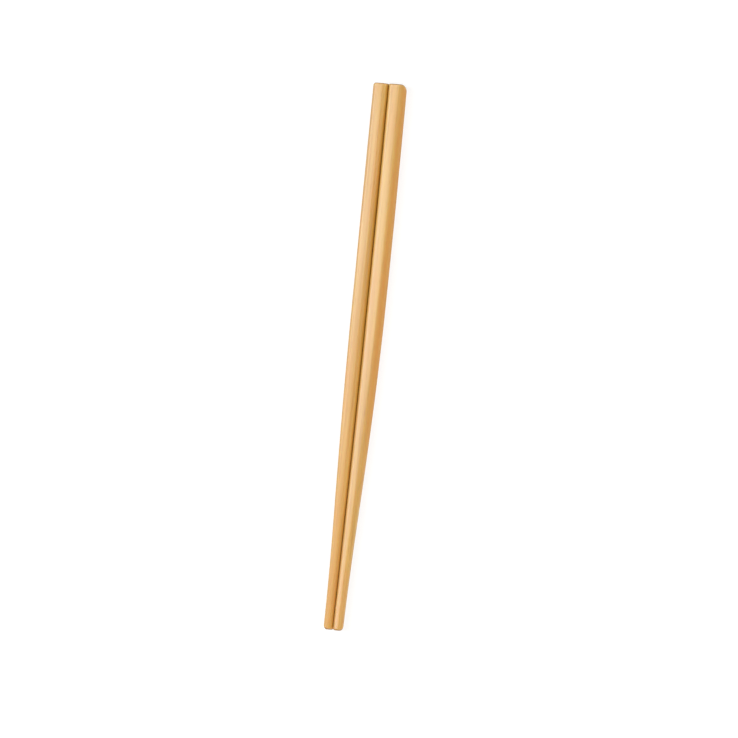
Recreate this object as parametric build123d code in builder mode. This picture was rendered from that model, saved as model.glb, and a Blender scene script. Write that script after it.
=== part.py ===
from build123d import *
import os

# A pair of bamboo chopsticks lying side by side, in millimetres.
# +X runs across the pair, +Y from the tips to the butts and +Z up. The origin is on the
# resting plane, below the middle of the pair.
# Each stick is carved from one piece of bamboo: a straight handle of rounded-square section,
# then a taper that eases down to a nearly round tip. The inner sides of the two sticks are
# straight, so the pair meets along its whole length, and the taper comes off the outer side,
# the top and the underside.

# Driving dimensions
length = 230.0  # butt to tip
handle_length = 98.0  # straight handle, from the butt
handle_side = 6.9  # across the flats of the handle
handle_flat = 2.0  # flat between the rounded corners of the handle
tip_side = 4.05  # across the flats of the tip
tip_flat = 0.4  # flat that is left between the corners of the tip
butt_rounding = 1.3  # around the end of the butt
tip_bevel = 0.5  # eased edge around the end of the tip
hairline = 0.2  # gap between the inner sides of the two sticks
section_spacing = 11.0  # between neighbouring sections of the taper

# Sizes and places worked out from them
taper_length = length - handle_length
taper_spans = round(taper_length / section_spacing)
butt_plane = Plane.XZ.offset(-length / 2)
axis_height = handle_side / 2


def ease(share):
    """Go from 0 to 1, level at both ends, so that the taper leaves the handle with no ridge."""
    return share**2 * (3 - 2 * share)


with BuildPart() as left_chopstick:
    # Straight handle
    with BuildSketch(butt_plane):
        with Locations((-(hairline + handle_side) / 2, axis_height)):
            RectangleRounded(handle_side, handle_side, (handle_side - handle_flat) / 2)
    extrude(amount=handle_length)

    # Taper from the handle's section to the tip's, with its inner side in line with the handle's.
    # Short straight spans between the sections stay within 0.01 mm of the eased curve.
    for span in range(taper_spans + 1):
        share = span / taper_spans
        side = handle_side + ease(share) * (tip_side - handle_side)
        flat = handle_flat + ease(share) * (tip_flat - handle_flat)
        with BuildSketch(butt_plane.offset(handle_length + share * taper_length)):
            with Locations((-(hairline + side) / 2, axis_height)):
                RectangleRounded(side, side, (side - flat) / 2)
    loft(ruled=True)

    # Softened ends
    fillet(faces().sort_by(Axis.Y)[-1].edges(), butt_rounding)
    chamfer(faces().sort_by(Axis.Y)[0].edges(), tip_bevel)

# The other stick is its mirror image
with BuildPart() as right_chopstick:
    mirror(left_chopstick.part, about=Plane.YZ)

left_chopstick.part.label = "left_chopstick"
right_chopstick.part.label = "right_chopstick"

os.makedirs("parts", exist_ok=True)
export_step(left_chopstick.part, "parts/left_chopstick.step")
export_step(right_chopstick.part, "parts/right_chopstick.step")
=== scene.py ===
"""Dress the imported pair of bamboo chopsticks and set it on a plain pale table.

Each stick of the CAD frame is replaced by a finer surface of the same form, which carries the
fibre relief of sanded bamboo. All lengths in the classes are in millimetres unless a name says
otherwise, and become metres where a mesh, a material or the camera is made.
"""

import logging
from dataclasses import dataclass, field
from enum import Enum

import bpy
import numpy as np
from mathutils import Matrix, Vector


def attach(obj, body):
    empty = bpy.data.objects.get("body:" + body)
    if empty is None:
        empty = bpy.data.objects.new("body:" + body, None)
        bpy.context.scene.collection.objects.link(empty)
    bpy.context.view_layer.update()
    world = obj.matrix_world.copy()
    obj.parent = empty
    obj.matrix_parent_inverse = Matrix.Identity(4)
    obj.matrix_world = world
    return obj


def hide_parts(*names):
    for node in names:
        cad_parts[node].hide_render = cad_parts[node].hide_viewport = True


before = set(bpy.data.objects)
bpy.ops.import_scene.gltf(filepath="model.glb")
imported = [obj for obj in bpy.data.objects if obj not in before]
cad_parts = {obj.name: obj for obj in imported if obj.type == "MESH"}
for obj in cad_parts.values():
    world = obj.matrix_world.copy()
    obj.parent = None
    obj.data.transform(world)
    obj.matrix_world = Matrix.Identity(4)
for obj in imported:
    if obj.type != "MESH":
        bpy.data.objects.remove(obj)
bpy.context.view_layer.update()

MM = 0.001
LOG = logging.getLogger("chopsticks")

# Sockets of a colour Mix node, by number because its other data types use the same names
MIX_SHARE, MIX_UNDER, MIX_OVER, MIX_RESULT = 0, 6, 7, 2

NodeInput = bpy.types.NodeSocket | float | tuple[float, ...]


class Side(Enum):
    """A stick's place in the pair, as the sign of its X."""

    LEFT = -1
    RIGHT = 1


class Axis(Enum):
    """A direction of the pair, as the coordinate that runs along it."""

    ACROSS = "X"
    ALONG = "Y"


def linear(colour: str) -> tuple[float, float, float, float]:
    """Turn an sRGB hex colour into linear RGBA.

    Each channel c in 0..1 becomes c / 12.92 below 0.04045, and ((c + 0.055) / 1.055) ** 2.4 above.

    Args:
        colour: The colour as "#RRGGBB".

    Returns:
        Red, green, blue and an alpha of 1, all linear.
    """
    srgb = np.array([int(colour[i : i + 2], 16) for i in (1, 3, 5)]) / 255
    rgb = np.where(srgb <= 0.04045, srgb / 12.92, ((srgb + 0.055) / 1.055) ** 2.4)
    return (*rgb.tolist(), 1.0)


def add(
    tree: bpy.types.NodeTree,
    kind: str,
    inputs: dict[str | int, NodeInput],
    **settings: str | bool,
) -> bpy.types.Node:
    """Add a node with its settings, its input values and its links.

    Args:
        tree: The node tree that the node goes into.
        kind: The node's type, such as "ShaderNodeTexNoise".
        inputs: Each input by name or number, with a value or the socket that it is linked from.
        **settings: The node's own properties.

    Returns:
        The new node.
    """
    node = tree.nodes.new(kind)
    for name, value in settings.items():
        setattr(node, name, value)
    for name, value in inputs.items():
        if isinstance(value, bpy.types.NodeSocket):
            tree.links.new(value, node.inputs[name])
        else:
            node.inputs[name].default_value = value
    return node


def lattice_noise(
    around: np.ndarray, along: np.ndarray, cells: tuple[int, int], seed: int
) -> np.ndarray:
    """Give smooth noise on a strip that closes on itself around a stick.

    Random values stand on a lattice of cells, and a point takes the mean of its four corners,
    weighted by t * t * (3 - 2 * t) of its place t in the cell, in each direction.

    Args:
        around: Place around the stick, 0 to 1, shaped (1, m).
        along: Place along the stick, 0 to 1, shaped (n, 1).
        cells: Number of cells around and along.
        seed: Seed of the random values.

    Returns:
        Noise from 0 to 1, shaped (n, m).
    """
    values = np.random.default_rng(seed).random((cells[1] + 1, cells[0]))
    u = around * cells[0]
    v = np.clip(along, 0, 1) * cells[1]
    column = np.floor(u).astype(int)
    row = np.minimum(np.floor(v).astype(int), cells[1] - 1)
    p = (u - column) ** 2 * (3 - 2 * (u - column))
    q = (v - row) ** 2 * (3 - 2 * (v - row))
    left, right = column % cells[0], (column + 1) % cells[0]
    near = values[row, left] * (1 - p) + values[row, right] * p
    far = values[row + 1, left] * (1 - p) + values[row + 1, right] * p
    return near * (1 - q) + far * q


@dataclass(frozen=True)
class FibreMark:
    """One kind of mark that the fibres leave: noise drawn out along the stick, in one colour."""

    colour: str
    width: float  # across the fibres
    run: float  # along the fibres
    detail: float  # octaves of finer noise inside each mark
    low: float  # noise below this shows none of the colour
    high: float  # noise above this shows the whole amount
    amount: float


@dataclass(frozen=True)
class LacqueredBamboo:
    """Bamboo culm wall, planed, sanded and given a thin clear satin lacquer.

    The fibres run along the stick, so the sides show long streaks and the cut ends show dots.
    Sanding under a thin lacquer leaves a satin surface: one broad soft light along the stick, and
    no clear reflection. A painted shade deepens the colour along one axis of the stick, where less
    light falls, and the lacquer is made more matt with it. The butt's sanded edge is paler, with a
    painted highlight on it. The bamboo lets a little light in, which warms the side that is turned
    away.
    """

    name: str
    painted_shade_amount: float  # of the painted shade's colour, where it is full
    painted_shade_axis: Axis
    painted_shade_place: tuple[float, float]  # where the painted shade starts on that axis, and where it is full
    sunk_roughness: float  # of the lacquer where the painted shade is full
    shift: float = 0.0  # moves the streaks along the stick, in lengths of a mark
    honey: str = "#C59334"  # the ground between the fibres
    # Paler culm wall
    bands: FibreMark = FibreMark(
        "#CFA246", width=2.4, run=150.0, detail=2.0, low=0.38, high=0.62, amount=1.0
    )
    # Warmer stretches
    patches: FibreMark = FibreMark(
        "#CD903E", width=5.0, run=45.0, detail=1.0, low=0.45, high=0.68, amount=0.5
    )
    # Fibre bundles
    strands: FibreMark = FibreMark(
        "#B17A2C", width=0.55, run=60.0, detail=3.0, low=0.48, high=0.72, amount=0.5
    )
    # Vessels that the sanding has opened; real ones are half as wide, drawn this coarse to show
    flecks: FibreMark = FibreMark(
        "#8F5C30", width=0.30, run=7.0, detail=1.0, low=0.64, high=0.74, amount=0.3
    )
    finer_share: float = 0.6  # weight of each finer octave of noise, in that of the one before
    painted_shade: str = "#CB8718"  # painted shade: a deeper colour where less light falls
    end_pale: str = "#936628"  # cut end between the bundles
    end_dot: str = "#664418"  # cut bundles on the end
    bundle_spacing: float = 0.60
    bundle_run: float = 250.0  # length of stick over which the dots change places
    dot_edge: tuple[float, float] = (0.12, 0.42)  # where a dot starts to pale and ends, in spacings
    worn_highlight_rim: str = "#E6BE80"  # paler sanded edge of the butt, with a painted highlight along it
    satin_noise: tuple[float, float] = (0.35, 0.7)  # of the strands, over which the satin changes
    satin_roughness: tuple[float, float] = (0.36, 0.44)  # between the strands, and on them
    ior: float = 1.6
    gloss: float = 0.85  # of the reflection, where 0.5 is the plain one of that index
    relief: float = 0.03  # height of the strands
    relief_strength: float = 0.25
    light_share: float = 0.35  # of the light that goes in and comes out again
    light_depth: float = 0.8  # how far red light goes in
    light_spread: tuple[float, float, float] = (1.0, 0.4, 0.12)  # of red, green and blue, in depths

    def end_grain(
        self, tree: bpy.types.NodeTree, place: bpy.types.NodeSocket
    ) -> bpy.types.NodeSocket:
        """Lay out the cut end: a dark dot in each Voronoi cell, one cell for each fibre bundle.

        Args:
            tree: The material's node tree.
            place: Object coordinates.

        Returns:
            The colour of the cut end.
        """
        across = 1 / (self.bundle_spacing * MM)
        scale = (across, 1 / (self.bundle_run * MM), across)
        spread = add(tree, "ShaderNodeMapping", {"Vector": place, "Scale": scale})
        bundles = add(tree, "ShaderNodeTexVoronoi", {"Vector": spread.outputs[0], "Scale": 1.0})
        inner, outer = self.dot_edge
        between = add(
            tree,
            "ShaderNodeMapRange",
            {"Value": bundles.outputs["Distance"], "From Min": inner, "From Max": outer},
            interpolation_type="SMOOTHSTEP",
        )
        dots = {
            MIX_SHARE: between.outputs["Result"],
            MIX_UNDER: linear(self.end_dot),
            MIX_OVER: linear(self.end_pale),
        }
        return add(tree, "ShaderNodeMix", dots, data_type="RGBA").outputs[MIX_RESULT]

    def build(self) -> bpy.types.Material:
        """Make the material.

        Returns:
            The material, with its pattern on Object coordinates and its ends on an attribute.
        """
        material = bpy.data.materials.new(self.name)
        material.use_nodes = True
        tree = material.node_tree
        tree.nodes.clear()
        place = add(tree, "ShaderNodeTexCoord", {}).outputs["Object"]

        # Layers of colour over the ground, each after the share of it that shows
        layers: list[tuple[bpy.types.NodeSocket, NodeInput]] = []
        noises: dict[FibreMark, bpy.types.NodeSocket] = {}
        for mark in (self.bands, self.patches, self.strands, self.flecks):
            across = 1 / (mark.width * MM)
            drawn_out = add(
                tree,
                "ShaderNodeMapping",
                {
                    "Vector": place,
                    "Location": (0.0, self.shift, 0.0),
                    "Scale": (across, 1 / (mark.run * MM), across),
                },
            )
            noise = add(
                tree,
                "ShaderNodeTexNoise",
                {
                    "Vector": drawn_out.outputs[0],
                    "Scale": 1.0,
                    "Detail": mark.detail,
                    "Roughness": self.finer_share,
                },
            )
            noises[mark] = noise.outputs["Fac"]
            share = add(
                tree,
                "ShaderNodeMapRange",
                {
                    "Value": noises[mark],
                    "From Min": mark.low,
                    "From Max": mark.high,
                    "To Max": mark.amount,
                },
                interpolation_type="SMOOTHSTEP",
            )
            layers.append((share.outputs["Result"], linear(mark.colour)))

        # Painted shade: a deeper colour along one axis, where less light falls
        axes = add(tree, "ShaderNodeSeparateXYZ", {"Vector": place}).outputs
        start, full = self.painted_shade_place
        painted_shade_range = {
            "Value": axes[self.painted_shade_axis.value],
            "From Min": start * MM,
            "From Max": full * MM,
        }
        deeper = add(tree, "ShaderNodeMapRange", {**painted_shade_range, "To Max": self.painted_shade_amount})
        layers.append((deeper.outputs["Result"], linear(self.painted_shade)))

        ends = add(tree, "ShaderNodeAttribute", {}, attribute_name="cut_and_worn_highlight_rim")
        ends = add(tree, "ShaderNodeSeparateXYZ", {"Vector": ends.outputs["Vector"]})
        layers.append((ends.outputs["X"], self.end_grain(tree, place)))
        # Paler sanded edge of the butt, with a painted highlight
        layers.append((ends.outputs["Y"], linear(self.worn_highlight_rim)))

        colour: NodeInput = linear(self.honey)
        for share_socket, over in layers:
            laid_over = {MIX_SHARE: share_socket, MIX_UNDER: colour, MIX_OVER: over}
            mixed = add(tree, "ShaderNodeMix", laid_over, data_type="RGBA")
            colour = mixed.outputs[MIX_RESULT]

        fibres = noises[self.strands]
        satin = add(
            tree,
            "ShaderNodeMapRange",
            {
                "Value": fibres,
                "From Min": self.satin_noise[0],
                "From Max": self.satin_noise[1],
                "To Min": self.satin_roughness[0],
                "To Max": self.satin_roughness[1],
            },
        )
        sunk = {**painted_shade_range, "To Min": satin.outputs["Result"], "To Max": self.sunk_roughness}
        bump = add(
            tree,
            "ShaderNodeBump",
            {"Strength": self.relief_strength, "Distance": self.relief * MM, "Height": fibres},
        )
        surface = add(
            tree,
            "ShaderNodeBsdfPrincipled",
            {
                "Base Color": colour,
                "Roughness": add(tree, "ShaderNodeMapRange", sunk).outputs["Result"],
                "Normal": bump.outputs["Normal"],
                "IOR": self.ior,
                "Specular IOR Level": self.gloss,
                "Subsurface Weight": self.light_share,
                "Subsurface Radius": self.light_spread,
                "Subsurface Scale": self.light_depth * MM,
            },
        )
        add(tree, "ShaderNodeOutputMaterial", {"Surface": surface.outputs[0]})
        return material


@dataclass(frozen=True)
class PaperWhiteTable:
    """Matt white studio paper under the sticks.

    Paper has no gloss, so the table is an even white that only the soft shadow of the sticks
    breaks. The camera, reflections and clear bodies see it lifted to white, and all other light
    meets a pale matt floor.
    """

    name: str = "matt_white_paper"
    paper: str = "#D8D8D6"
    shadow_paper: str = "#8E8E8C"  # takes the shadow that the camera sees
    lift: float = 0.78  # added to it, so that it is white outside the shadow

    def build(self) -> bpy.types.Material:
        """Make the material.

        Returns:
            The material, which shows the shadow on white to the camera.
        """
        material = bpy.data.materials.new(self.name)
        material.use_nodes = True
        tree = material.node_tree
        tree.nodes.clear()
        plain = add(tree, "ShaderNodeBsdfDiffuse", {"Color": linear(self.paper)})
        shadowed = add(tree, "ShaderNodeBsdfDiffuse", {"Color": linear(self.shadow_paper)})
        lifted = add(tree, "ShaderNodeEmission", {"Strength": self.lift})
        white = add(tree, "ShaderNodeAddShader", {0: shadowed.outputs[0], 1: lifted.outputs[0]})
        path = add(tree, "ShaderNodeLightPath", {}).outputs
        seen = path["Is Camera Ray"]
        for ray in ("Is Glossy Ray", "Is Transmission Ray"):
            either = add(tree, "ShaderNodeMath", {0: seen, 1: path[ray]}, operation="MAXIMUM")
            seen = either.outputs[0]
        choice = {0: seen, 1: plain.outputs[0], 2: white.outputs[0]}
        table = add(tree, "ShaderNodeMixShader", choice)
        add(tree, "ShaderNodeOutputMaterial", {"Surface": table.outputs[0]})
        return material


@dataclass
class Chopstick:
    """One stick: a straight rounded-square handle that eases down to a nearly round tip."""

    side: Side
    node: str
    finish: LacqueredBamboo
    butt_corner: float  # radius of the sanded outer corner of the butt
    tip_corner: float
    corner_tilt_deg: float  # of those corners, from the outer side towards the table
    # Width across the pair as a share of the CAD's, at even places from the butt to the tip
    breadths: tuple[float, ...]
    seed: int
    length: float = 230.0
    handle_length: float = 98.0
    handle_side: float = 6.9
    handle_flat: float = 2.0
    tip_side: float = 4.05
    tip_flat: float = 0.4
    hairline: float = 0.2  # gap between the sticks
    butt_rounding: float = 0.5  # all round the end
    tip_rounding: float = 0.8
    corner_fade: float = 3.0  # how far along the stick a sanded corner reaches, in its radii
    bow: float = 0.75  # natural bend towards +X, at mid-length
    crown_deg: float = 14.0  # turn of the surface over half a flat
    hand_waviness: float = 0.05
    wave_cells: tuple[int, int] = (5, 5)  # around and along, about 5 by 45 mm each
    fibre_depth: float = 0.02
    coarse_cells: tuple[int, int] = (42, 9)  # about 0.6 mm wide
    coarse_share: float = 0.6
    fine_cells: tuple[int, int] = (64, 34)  # about 0.35 mm wide
    grain_fade: float = 0.2  # share of an end's rounding over which the end grain comes in
    worn_highlight_rim_amount: float = 0.3  # of the paler colour on the edge of the butt: sanded wear and a painted highlight
    worn_highlight_rim_width: float = 0.4
    rings: int = 470  # along the body
    face_rings: tuple[float, ...] = (0.2, 0.45, 0.7, 0.88, 0.97)  # as shares of an end face
    end_steps: int = 12  # round an end's edge
    arc_steps: int = 24  # round a corner of the section
    flat_steps: int = 8

    def outline(self) -> tuple[np.ndarray, np.ndarray, np.ndarray]:
        """Give the section as corners and normals.

        A rounded square of flat f and corner radius r is f / 2 * corner + r * normal. Round a
        corner the corner stays and the normal turns; along a flat the corner goes in a straight
        line to the next one, and the normal turns by the crown before its middle and again after.

        Returns:
            Corners (m, 2), unit normals (m, 2) and the place around (m,), from 0 to 1.
        """
        arc = np.linspace(0, 1, self.arc_steps + 1)
        flat = np.linspace(0, 1, self.flat_steps + 1)[1:-1]
        crown = self.crown_deg / 90
        turn = np.concatenate([crown + arc * (1 - 2 * crown), 1 - crown + flat * 2 * crown])
        go = np.concatenate([np.zeros_like(arc), flat])[None, :, None]
        quarter = np.arange(4)[:, None]
        angle = (quarter + turn) * np.pi / 2
        normals = np.stack([np.cos(angle), np.sin(angle)], axis=-1)
        middle = (quarter + 0.5) * np.pi / 2
        corner = np.sign(np.stack([np.cos(middle), np.sin(middle)], axis=-1))
        corners = corner * (1 - go) + np.roll(corner, -1, axis=0) * go
        count = angle.size
        return corners.reshape(-1, 2), normals.reshape(-1, 2), np.arange(count) / count

    def stations(self) -> np.ndarray:
        """Give the rings from the butt's middle, along the stick, to the tip's middle.

        A ring has its place along the body as a share, and its size as a share, which goes from
        near 0 to 1 on an end face. Round an end, an angle a goes from 0 to 90 degrees. There a
        ring lies 1 - cos a from the end and 1 - sin a inside the body's surface, as shares of the
        rounding.

        Returns:
            Rows of place, size, then reach and inset at the butt, then reach and inset at the tip,
            shaped (n, 6).
        """
        face = np.array(self.face_rings)
        bend = np.linspace(0, np.pi / 2, self.end_steps + 1)
        size = np.concatenate([face, 0 * bend + 1])
        reach = np.concatenate([0 * face, 1 - np.cos(bend)])
        inset = np.concatenate([0 * face + 1, 1 - np.sin(bend)])
        none, full = 0 * size, 0 * size + 1
        butt = np.stack([none, size, reach, inset, full, none], axis=1)
        tip = np.stack([full, size, full, none, reach, inset], axis=1)[::-1]
        place = np.linspace(0, 1, self.rings)[1:-1]
        none, full = 0 * place, 0 * place + 1
        body = np.stack([place, full, full, none, full, none], axis=1)
        return np.concatenate([butt, body, tip])

    def relief(self, around: np.ndarray, along: np.ndarray) -> np.ndarray:
        """Give how far the surface lies below its form, in millimetres.

        A slow wave of the hand that sanded it, and a coarse and a fine set of fibre lines along
        the stick, each a lattice noise times its depth.

        Args:
            around: Place around the stick, shaped (1, m).
            along: Place along the stick, shaped (n, 1).

        Returns:
            Depths, shaped (n, m), none below 0.
        """
        wave = lattice_noise(around, along, self.wave_cells, self.seed)
        coarse = lattice_noise(around, along, self.coarse_cells, self.seed + 1)
        fine = lattice_noise(around, along, self.fine_cells, self.seed + 2)
        fibres = self.coarse_share * coarse + (1 - self.coarse_share) * fine
        return self.hand_waviness * wave + self.fibre_depth * fibres

    def corner(self, inwards: np.ndarray, distance: np.ndarray, radius: float) -> np.ndarray:
        """Give how far the sanded outer corner of an end draws the surface back along the stick.

        With q = 1 - inwards / radius, from 0 to 1, a point goes back by
        radius * (1 - sqrt(1 - q * q)), which fades out in a straight line along the stick.

        Args:
            inwards: Distance in from the outermost line of the stick, shaped (n, m).
            distance: Distance along the stick from that end, shaped (n, 1).
            radius: The corner's radius.

        Returns:
            Distances along the stick, shaped (n, m).
        """
        q = np.clip(1 - inwards / radius, 0, 1)
        fade = np.clip(1 - distance / (self.corner_fade * radius), 0, 1)
        return radius * (1 - np.sqrt(1 - q**2)) * fade

    def surface(self) -> tuple[np.ndarray, np.ndarray]:
        """Give the stick's points as a grid of rings by places around.

        A ring at place p lies s = butt * reach + p * (length - butt - tip) + tip * (1 - reach)
        from the butt, with the roundings butt and tip and the reach at each. Past the handle, t is
        the share of the taper and e = t * t * (3 - 2 * t). Side and flat go from the handle's to
        the tip's by e. The section's middle lies half a side from the inner face, at half the
        handle's side above the table, and the natural bend moves it by bow * sin(pi * s / length).
        The width goes straight from one breadth w to the next. The sanded corners lie outwards in
        the direction (a, b) = (side's sign * cos tilt, -sin tilt) of the section, whose outermost
        line is flat / 2 * (w * |a| + |b|) + (side - flat) / 2 * hypot(w * a, b) from its middle.

        Returns:
            Points in millimetres, shaped (n, m, 3), and marks (n, m, 3) of cut end, and of the
            butt's sanded edge with its painted highlight.
        """
        corners, normals, around = self.outline()
        columns = (column[:, None] for column in self.stations().T)
        place, share, butt_reach, butt_inset, tip_reach, tip_inset = columns
        butt, tip = self.butt_rounding, self.tip_rounding
        distance = butt * butt_reach + place * (self.length - butt - tip) + tip * (1 - tip_reach)
        inset = butt * butt_inset + tip * tip_inset

        # Section of each ring
        t = np.clip((distance - self.handle_length) / (self.length - self.handle_length), 0, 1)
        eased = t**2 * (3 - 2 * t)
        side = self.handle_side + eased * (self.tip_side - self.handle_side)
        flat = self.handle_flat + eased * (self.tip_flat - self.handle_flat)
        depth = self.relief(around[None], distance / self.length)
        half = share * flat / 2
        radius = share * ((side - flat) / 2 - inset - depth)
        places = np.linspace(0, self.length, len(self.breadths))
        breadth = np.interp(distance, places, self.breadths)
        bow = self.bow * np.sin(np.pi * distance / self.length)
        middle = self.side.value * (self.hairline + side * breadth) / 2 + bow
        from_middle = breadth * (half * corners[:, 0] + radius * normals[:, 0])
        rise = half * corners[:, 1] + radius * normals[:, 1]

        # Sanded corners of the ends
        tilt = np.radians(self.corner_tilt_deg)
        a, b = self.side.value * np.cos(tilt), -np.sin(tilt)
        outermost = flat / 2 * (breadth * abs(a) + abs(b))
        outermost = outermost + (side - flat) / 2 * np.hypot(breadth * a, b)
        inwards = outermost - a * from_middle - b * rise
        butt_back = self.corner(inwards, distance, self.butt_corner)
        tip_back = self.corner(inwards, self.length - distance, self.tip_corner)

        x = middle + from_middle
        y = self.length / 2 - distance - butt_back + tip_back
        z = self.handle_side / 2 + rise
        cut = np.clip((butt_inset + tip_inset) / self.grain_fade, 0, 1) + 0 * x
        # Paler sanded edge of the butt with a painted highlight, just past its rounding
        worn_highlight_rim = self.worn_highlight_rim_amount * np.exp(-(((distance - butt) / self.worn_highlight_rim_width) ** 2)) + 0 * x
        return np.stack([x, y, z], axis=-1), np.stack([cut, worn_highlight_rim, 0 * x], axis=-1)

    def build(self) -> bpy.types.Object:
        """Make the mesh, with its poles and seam closed and its faces outwards, and dress it.

        Returns:
            The stick, at the origin, riding on the frame in place of its CAD node.
        """
        points, marks = self.surface()
        rows, columns = points.shape[:2]
        poles = np.stack([points[0].mean(axis=0), points[-1].mean(axis=0)])
        vertices = np.concatenate([points.reshape(-1, 3), poles]) * MM
        pole_marks = np.repeat([[1.0, 0.0, 0.0]], len(poles), axis=0)
        row = np.arange(rows - 1)[:, None] * columns
        here, after = np.arange(columns), (np.arange(columns) + 1) % columns
        quads = np.stack(
            [row + here, row + after, row + columns + after, row + columns + here], axis=-1
        ).reshape(-1, 4)
        last = (rows - 1) * columns
        butt_pole = np.full(columns, rows * columns)
        butt_fan = np.stack([after, here, butt_pole], axis=-1)
        tip_fan = np.stack([last + here, last + after, butt_pole + 1], axis=-1)

        mesh = bpy.data.meshes.new(self.node + "_surface")
        faces = [*quads.tolist(), *butt_fan.tolist(), *tip_fan.tolist()]
        mesh.from_pydata(vertices.tolist(), [], faces)
        attribute = mesh.attributes.new("cut_and_worn_highlight_rim", "FLOAT_VECTOR", "POINT")
        all_marks = np.concatenate([marks.reshape(-1, 3), pole_marks])
        attribute.data.foreach_set("vector", all_marks.ravel())
        mesh.polygons.foreach_set("use_smooth", np.ones(len(faces), dtype=bool))
        mesh.materials.append(self.finish.build())
        mesh.update()
        stick = bpy.data.objects.new(self.node + "_sanded", mesh)
        bpy.context.scene.collection.objects.link(stick)
        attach(stick, "root")
        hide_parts(self.node)
        return stick


@dataclass
class ChopstickPair:
    """Two sticks side by side, each from its own strip of bamboo."""

    left: Chopstick = field(
        default_factory=lambda: Chopstick(
            Side.LEFT,
            "left_chopstick",
            LacqueredBamboo(
                "satin_lacquered_bamboo_left",
                # Painted shade, deeper towards the tip
                painted_shade_amount=0.4,
                painted_shade_axis=Axis.ALONG,
                painted_shade_place=(50.0, -100.0),
                sunk_roughness=0.56,
            ),
            butt_corner=0.9,
            tip_corner=1.5,
            corner_tilt_deg=-20.0,
            breadths=(0.98, 1.0, 0.98, 1.04, 1.01),
            seed=11,
        )
    )
    right: Chopstick = field(
        default_factory=lambda: Chopstick(
            Side.RIGHT,
            "right_chopstick",
            LacqueredBamboo(
                "satin_lacquered_bamboo_right",
                # Painted shade, deeper on the outer side, which is turned away from the key light
                painted_shade_amount=0.75,
                painted_shade_axis=Axis.ACROSS,
                painted_shade_place=(5.8, 7.2),
                sunk_roughness=0.66,
                shift=3.7,
            ),
            butt_corner=2.6,
            tip_corner=1.6,
            corner_tilt_deg=20.0,
            breadths=(1.04, 1.045, 1.015, 1.06, 1.03),
            seed=23,
        )
    )

    def build(self) -> list[bpy.types.Object]:
        """Build both sticks, the left one first."""
        return [self.left.build(), self.right.build()]


@dataclass(frozen=True)
class SoftBox:
    """A rectangular studio lamp with a white front, pointed at the sticks."""

    name: str
    towards: tuple[float, float, float]  # direction from the sticks to the lamp
    distance_m: float
    width_m: float
    height_m: float
    brightness: float  # of its front, where 1 is white

    def build(self) -> bpy.types.Object:
        """Make the lamp.

        Its power is pi * area * brightness, which gives its front that brightness.

        Returns:
            The lamp.
        """
        lamp = bpy.data.lights.new(self.name, "AREA")
        lamp.shape = "RECTANGLE"
        lamp.size, lamp.size_y = self.width_m, self.height_m
        lamp.energy = np.pi * self.width_m * self.height_m * self.brightness
        box = bpy.data.objects.new(self.name, lamp)
        out = Vector(self.towards).normalized()
        box.location = out * self.distance_m
        box.rotation_euler = out.to_track_quat("Z", "Y").to_euler()
        bpy.context.scene.collection.objects.link(box)
        return box


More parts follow.
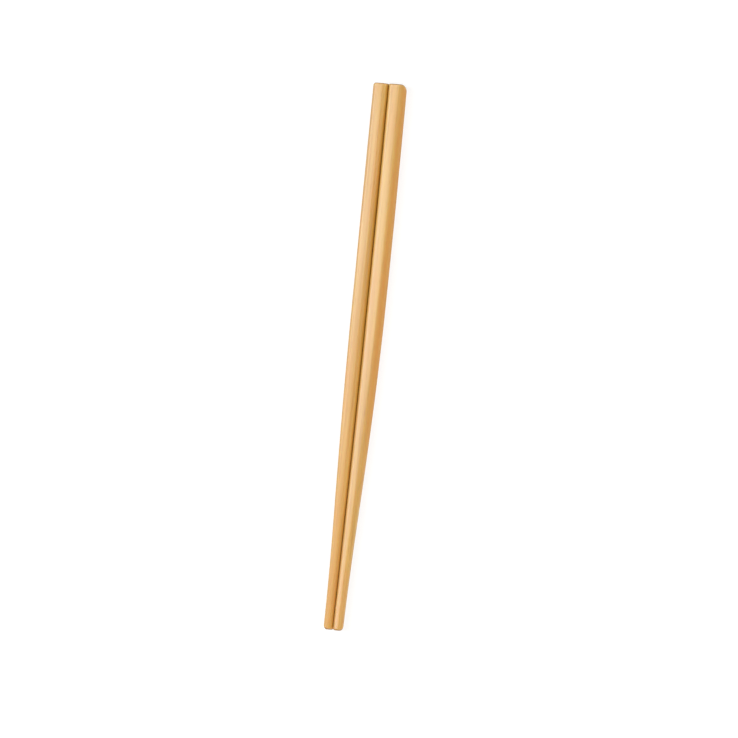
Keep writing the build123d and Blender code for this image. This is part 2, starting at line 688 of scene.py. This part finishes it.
@dataclass
class Studio:
    """The table, the soft light round it and the camera."""

    table: PaperWhiteTable = field(default_factory=PaperWhiteTable)
    lamps: tuple[SoftBox, ...] = (
        SoftBox(
            "key_softbox",
            towards=(-0.68, 0.03, 0.73),
            distance_m=1.1,
            width_m=0.60,
            height_m=1.43,
            brightness=5.0,
        ),
        SoftBox(
            "fill_softbox",
            towards=(0.64, 0.03, 0.77),
            distance_m=1.1,
            width_m=0.60,
            height_m=1.35,
            brightness=1.2,
        ),
        SoftBox(
            "tip_end_softbox",
            towards=(0.45, -0.80, 0.40),
            distance_m=1.8,
            width_m=1.40,
            height_m=1.10,
            brightness=4.8,
        ),
        SoftBox(
            "butt_end_softbox",
            towards=(0.45, 0.85, 0.30),
            distance_m=1.8,
            width_m=1.40,
            height_m=1.10,
            brightness=2.2,
        ),
    )
    room: str = "#FFFFFF"
    room_brightness: float = 0.12
    table_half_m: float = 3.0
    table_steps: int = 8
    table_gap: float = 0.05  # below the sticks, so that the faces don't coincide
    lean_deg: float = 20.0  # of the camera from overhead, to the right of the pair
    dip_deg: float = 1.5  # of the camera towards the tips
    roll_deg: float = -5.957
    distance_m: float = 2.0  # of the camera from the point that it looks at
    aim_height: float = 3.65  # of that point
    lens_mm: float = 232.91
    sensor_mm: float = 36.0
    shift: tuple[float, float] = (0.01030, -0.01675)  # of the lens, in widths of the picture

    def build_table(self) -> bpy.types.Object:
        """Make the table: a flat grid of x and y from -half to half, just under the sticks.

        Returns:
            The table.
        """
        steps, count = np.arange(self.table_steps), self.table_steps + 1
        line = np.linspace(-self.table_half_m, self.table_half_m, count)
        x, y = np.meshgrid(line, line)
        vertices = np.stack([x, y, 0 * x - self.table_gap * MM], axis=-1).reshape(-1, 3)
        first = (steps[:, None] * count + steps).ravel()
        quads = np.stack([first, first + 1, first + count + 1, first + count], axis=-1)
        mesh = bpy.data.meshes.new("table_top")
        mesh.from_pydata(vertices.tolist(), [], quads.tolist())
        mesh.materials.append(self.table.build())
        table = bpy.data.objects.new("table_top", mesh)
        bpy.context.scene.collection.objects.link(table)
        return table

    def build_room(self) -> bpy.types.World:
        """Make the room: an even pale light all round.

        Returns:
            The world, set as the scene's.
        """
        world = bpy.data.worlds.new("pale_room")
        world.use_nodes = True
        tree = world.node_tree
        tree.nodes.clear()
        light = {"Color": linear(self.room), "Strength": self.room_brightness}
        room = add(tree, "ShaderNodeBackground", light)
        add(tree, "ShaderNodeOutputWorld", {"Surface": room.outputs[0]})
        bpy.context.scene.world = world
        return world

    def build_camera(self) -> bpy.types.Object:
        """Make the camera.

        It looks at the pair's middle from the direction c = (cos d sin l, -sin d, cos d cos l),
        with l the lean and d the dip. The sticks' butts point up in the picture, turned by the
        roll.

        Returns:
            The camera, set as the scene's.
        """
        lean, dip, roll = np.radians([self.lean_deg, self.dip_deg, self.roll_deg])
        back = np.array([np.cos(dip) * np.sin(lean), -np.sin(dip), np.cos(dip) * np.cos(lean)])
        along = np.array([0.0, 1.0, 0.0])
        upright = along - (along @ back) * back
        upright /= np.linalg.norm(upright)
        level = np.cross(upright, back)
        right = level * np.cos(roll) - upright * np.sin(roll)
        up = upright * np.cos(roll) + level * np.sin(roll)
        data = bpy.data.cameras.new("camera")
        data.lens, data.sensor_width = self.lens_mm, self.sensor_mm
        data.shift_x, data.shift_y = self.shift
        camera = bpy.data.objects.new("camera", data)
        turn = Matrix(np.stack([right, up, back], axis=1).tolist()).to_4x4()
        place = np.array([0.0, 0.0, self.aim_height * MM]) + back * self.distance_m
        camera.matrix_world = Matrix.Translation(place.tolist()) @ turn
        bpy.context.scene.collection.objects.link(camera)
        bpy.context.scene.camera = camera
        return camera

    def build(self) -> list[bpy.types.Object]:
        """Build the room's light, the table, the lamps and the camera.

        Returns:
            The table, the lamps and the camera.
        """
        self.build_room()
        bpy.context.scene.view_settings.view_transform = "Standard"
        return [self.build_table(), *(lamp.build() for lamp in self.lamps), self.build_camera()]


def main() -> None:
    """Build the pair and the studio."""
    logging.basicConfig(level=logging.INFO, format="%(name)s: %(message)s")
    for stick in ChopstickPair().build():
        LOG.info("%s: %d faces", stick.name, len(stick.data.polygons))
    for thing in Studio().build():
        LOG.info("%s is in place", thing.name)


if __name__ == "__main__":
    main()
